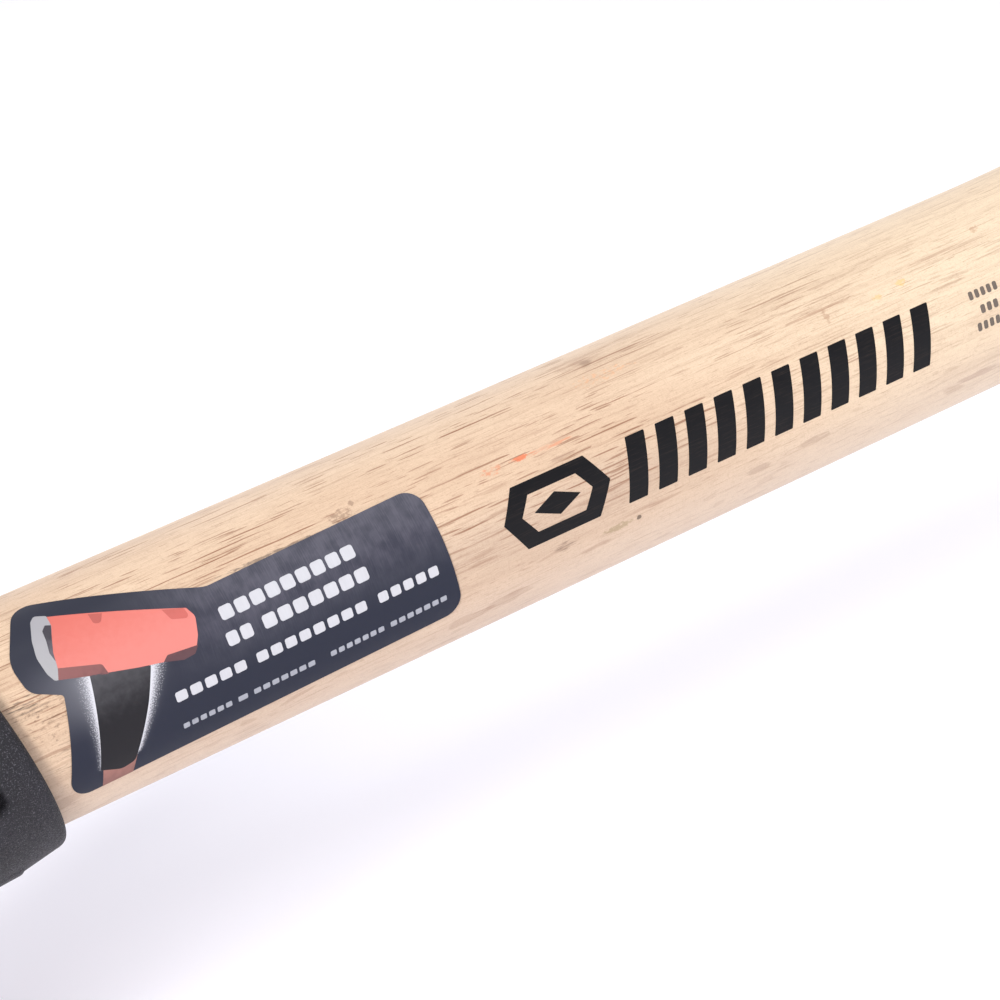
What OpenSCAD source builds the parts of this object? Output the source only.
// Octagonal double-faced hand sledge with a wooden handle and a shock-absorbing collar.
// The hammer stands on its lower striking face: +Z runs up the head, +X along the handle
// from the head to the grip, and Y is its thickness. The origin is the centre of the lower
// striking face. All sizes are in millimetres.

/* [Head] */
// Length of the head from one striking face to the other
head_length = 134; // [124:1:150]
// Width of the head across its flats
head_width = 47; // [45:0.5:52]
// Leg of the chamfers that make the two ends octagonal
chamfer_leg = 12.5; // [8:0.5:13.5]
// Length of each chamfer before it starts to run out
chamfer_length = 28; // [15:1:30]
// Radius of the curved run-out that ends each chamfer
runout_radius = 18; // [12:1:20]
// Diameter of the flat disc left in the middle of each striking face
face_diameter = 39; // [34:0.5:42]

/* [Eye and wedges] */
// Length of the oval eye at its waist, along the head
eye_length = 29; // [26:0.5:30]
// Width of the oval eye divided by its length
eye_ratio = 0.75; // [0.7:0.01:0.8]
// Extra length of the eye where it opens on the far side
eye_flare = 4; // [2:0.5:5]
// Height that the handle and its wedges stand proud of the head
tenon_proud = 1.5; // [0.5:0.5:3]
// Thickness of the wooden wedge at its driven end
wood_wedge_thickness = 5; // [3:0.5:6]
// Depth of the saw cut that holds the wooden wedge
wood_wedge_depth = 34; // [25:1:38]
// Thickness of each steel wedge at its driven end
steel_wedge_thickness = 3.2; // [2:0.2:4]
// Width of each steel wedge
steel_wedge_width = 16; // [12:1:18]
// Depth to which each steel wedge is driven
steel_wedge_depth = 20; // [15:1:25]
// Distance from the eye's centre to each steel wedge
steel_wedge_offset = 7.5; // [6:0.5:8]

/* [Handle] */
// Overall length of the handle
handle_length = 406; // [380:1:420]
// Long diameter of the oval shaft, along Z
shaft_length = 35; // [33:0.5:36]
// Short diameter of the oval divided by its long diameter
shaft_ratio = 0.86; // [0.8:0.01:0.9]
// Long diameter of the swelling at the grip
swell_length = 38.5; // [36:0.5:40]
// Distance from the butt to the thickest place of the swelling
swell_from_butt = 34; // [28:1:45]
// Distance over which the shaft grows into the swelling
swell_run = 80; // [50:1:100]
// Radius of the rounded edge at the butt
butt_radius = 9; // [5:0.5:12]

/* [Collar] */
// Distance from the head to the collar's hem, on the handle's axis
collar_length = 72; // [60:1:80]
// Long diameter of the collar against the head
collar_head_length = 52; // [48:0.5:54]
// Long diameter of the collar just behind the hem's rounding
collar_hem_length = 42.6; // [41:0.2:44]
// Height of the thin lip that the hem ends in
hem_lip = 1; // [0.6:0.1:1.5]
// Length of the rounding behind the hem
hem_rounding = 7; // [4:0.5:9]
// Slant of the hem from square
hem_slant = 12; // [0:1:14]
// Number of grooves across each cheek
groove_count = 7; // [4:1:8]
// Distance between grooves
groove_pitch = 8; // [7:0.5:9]
// Width of a groove along the handle
groove_width = 2.2; // [1.5:0.1:3]
// Length of a groove across the cheek
groove_span = 12; // [8:1:14]

/* [Label] */
// Length of the label along the handle
label_length = 69.2; // [60:0.2:80]
// Distance from the collar's hem, on the handle's axis, to the label
label_gap = 3.2; // [3:0.1:8]
// Height of the label's block of print
label_block_height = 21; // [18:0.5:24]
// Thickness of the label's film
label_thickness = 0.15; // [0.1:0.05:0.3]

/* [Hidden] */
$fn = 96;
oval_sides = 64;                              // flats around each oval
clear = 1;                                    // how far a cutter runs past what it cuts
handle_z = head_length / 2;                   // the eye is at the head's middle
half_width = head_width / 2;
chamfer_apothem = (head_width - chamfer_leg) / sqrt(2);
corner_reach = head_width / sqrt(2) + clear;
head_turned_radius = half_width + 5;          // clears the octagon's corners
tenon_end = -half_width - tenon_proud;
butt_end = tenon_end + handle_length;
waist_x = half_width * 0.25;                  // the eye is narrowest nearer the handle
shaft_radius = shaft_length / 2;
swell_radius = swell_length / 2;
swell_x = butt_end - swell_from_butt;
shoulder_gap = 0.4;                           // between the handle's shoulder and the head
shoulder_chamfer = 2;
hem_x = half_width + collar_length;
steps = 10;                                   // points along each curved profile
label_x = hem_x + label_gap;

function ease(t) = t * t * (3 - 2 * t);
function mix(a, b, t) = a + (b - a) * t;

// An oval solid along the handle's axis. Each station is [x, half of its length along Z], and
// ratio is the oval's width over its length. Slant leans the stations from square.
module oval_solid(stations, ratio, slant = 0) {
    ends = len(stations) - 1;
    points = [for (s = stations, i = [0 : oval_sides - 1])
        let (a = 360 * i / oval_sides, z = s[1] * cos(a))
        [s[0] - z * tan(slant), s[1] * ratio * sin(a), handle_z + z]];
    walls = [for (k = [0 : ends - 1], i = [0 : oval_sides - 1])
        let (j = (i + 1) % oval_sides, low = k * oval_sides, high = low + oval_sides)
        [low + i, low + j, high + j, high + i]];
    polyhedron(points, concat(walls,
        [[for (i = [oval_sides - 1 : -1 : 0]) i]],
        [[for (i = [0 : oval_sides - 1]) ends * oval_sides + i]]));
}

// ---- Head -------------------------------------------------------------------------------

// The eye's oval passage from one place on the axis to another
module eye(from_x, to_x) {
    waist = eye_length / 2;
    open = waist + eye_flare / 2;
    mouth = waist + 0.5;
    oval_solid([[from_x, open], [-half_width, open], [waist_x, waist],
                [half_width, mouth], [to_x, mouth]], eye_ratio);
}

// What one chamfer takes from one corner: a flat, then a curved run-out towards the middle
module corner_cut() {
    depth = corner_reach - chamfer_apothem;
    rotate([90, 0, 0]) linear_extrude(head_width, center = true)
        polygon(concat(
            [[corner_reach, -clear], [chamfer_apothem, -clear]],
            [for (i = [0 : steps])
                let (rise = depth * i / steps, back = runout_radius - rise)
                [chamfer_apothem + rise,
                 chamfer_length + sqrt(runout_radius * runout_radius - back * back)]]));
}

module head() {
    bevel = head_turned_radius - face_diameter / 2;
    color("orangered") difference() {
        intersection() {
            translate([-half_width, -half_width, 0])
                cube([head_width, head_width, head_length]);
            rotate_extrude() polygon([
                [0, 0], [face_diameter / 2, 0], [head_turned_radius, bevel],
                [head_turned_radius, head_length - bevel],
                [face_diameter / 2, head_length], [0, head_length]]);
        }
        for (a = [45 : 90 : 315]) rotate([0, 0, a]) {
            corner_cut();
            translate([0, 0, head_length]) mirror([0, 0, 1]) corner_cut();
        }
        eye(-half_width - clear, half_width + clear);
    }
}

// ---- Handle and wedges ------------------------------------------------------------------

// The tapered gap of the wooden wedge, right across the eye
module wood_wedge_gap(from_x) {
    tip = 0.8;
    translate([0, 0, handle_z]) linear_extrude(2 * shaft_length, center = true)
        polygon([[from_x, -wood_wedge_thickness / 2], [from_x, wood_wedge_thickness / 2],
                 [tenon_end + wood_wedge_depth, tip / 2],
                 [tenon_end + wood_wedge_depth, -tip / 2]]);
}

// A flat steel wedge driven across the wooden one, above or below the eye's centre
module steel_wedge(side) {
    tip = 0.5;
    translate([0, 0, handle_z + side * steel_wedge_offset]) rotate([90, 0, 0])
        linear_extrude(steel_wedge_width, center = true)
        polygon([[tenon_end, -steel_wedge_thickness / 2],
                 [tenon_end, steel_wedge_thickness / 2],
                 [tenon_end + steel_wedge_depth, tip / 2],
                 [tenon_end + steel_wedge_depth, -tip / 2]]);
}

module handle() {
    shoulder = half_width + shoulder_gap;
    color("burlywood") difference() {
        union() {
            eye(tenon_end, shoulder + clear);
            oval_solid(concat(
                [[shoulder, shaft_radius - shoulder_chamfer],
                 [shoulder + shoulder_chamfer, shaft_radius]],
                [for (i = [0 : steps])
                    [swell_x - swell_run * (1 - i / steps),
                     mix(shaft_radius, swell_radius, ease(i / steps))]],
                [for (i = [1 : steps])
                    [mix(swell_x, butt_end - butt_radius, i / steps),
                     swell_radius - 1.2 * (i / steps) * (i / steps)]],
                [for (a = [15 : 15 : 90])
                    [butt_end - butt_radius * (1 - sin(a)),
                     swell_radius - 1.2 - butt_radius * (1 - cos(a))]]), shaft_ratio);
        }
        wood_wedge_gap(tenon_end);
        for (side = [-1, 1]) steel_wedge(side);
    }
}

module wooden_wedge() {
    color("peru") difference() {
        intersection() {
            eye(tenon_end, half_width);
            wood_wedge_gap(tenon_end);
        }
        for (side = [-1, 1]) steel_wedge(side);
    }
}

module steel_wedge_lower() { color("silver") steel_wedge(-1); }

module steel_wedge_upper() { color("silver") steel_wedge(1); }

// ---- Collar -----------------------------------------------------------------------------

module collar_outside() {
    lip = shaft_radius + hem_lip;
    back = collar_hem_length / 2;
    start = half_width - collar_head_length * tan(hem_slant);
    growth = (collar_head_length - collar_hem_length) / 2 / (collar_length - hem_rounding);
    oval_solid(concat(
        [[start, collar_head_length / 2 + growth * (half_width - start)]],
        [for (a = [0 : 15 : 90])
            [hem_x - hem_rounding * (1 - sin(a)), lip + (back - lip) * cos(a)]]),
        shaft_ratio, hem_slant);
}

module collar() {
    past = hem_x + collar_hem_length;
    color("dimgray") difference() {
        collar_outside();
        oval_solid([[0, shaft_radius], [past, shaft_radius]], shaft_ratio);
        translate([-head_length, -head_width, 0])
            cube([head_length + half_width, 2 * head_width, head_length]);
        for (i = [0 : groove_count - 1], side = [-1, 1])
            translate([hem_x - hem_rounding - 0.5 - i * groove_pitch,
                       side * (shaft_radius * shaft_ratio + 2 + clear * 5), handle_z])
                cube([groove_width, 10, groove_span], center = true);
    }
}

// ---- Label ------------------------------------------------------------------------------

// The label's outline: a block of print, a lobe that rises at the collar's end and a leg below it
module label_outline() {
    radius = 2.5;
    block_start = label_length * 0.44;
    low = -label_block_height / 2;
    high = label_block_height / 2;
    lobe_low = 4;
    lobe_high = 17;
    lobe_end = 4.5;
    translate([label_x, handle_z]) offset(r = radius) offset(delta = -radius)
        polygon([[lobe_end / 2, low - 1.5], [label_length, low], [label_length, high],
                 [block_start, high - 0.5], [0, lobe_high], [0, lobe_low],
                 [lobe_end, lobe_low]]);
}

module label() {
    start = label_x - clear;
    end = label_x + label_length + clear;
    inside = shaft_radius;
    outside = shaft_radius + label_thickness;
    color("darkslategray") intersection() {
        difference() {
            oval_solid([[start, outside], [end, outside]], shaft_ratio);
            oval_solid([[0, inside], [butt_end, inside]], shaft_ratio);
        }
        rotate([90, 0, 0]) linear_extrude(shaft_length) label_outline();
    }
}

head();
handle();
wooden_wedge();
steel_wedge_lower();
steel_wedge_upper();
collar();
label();
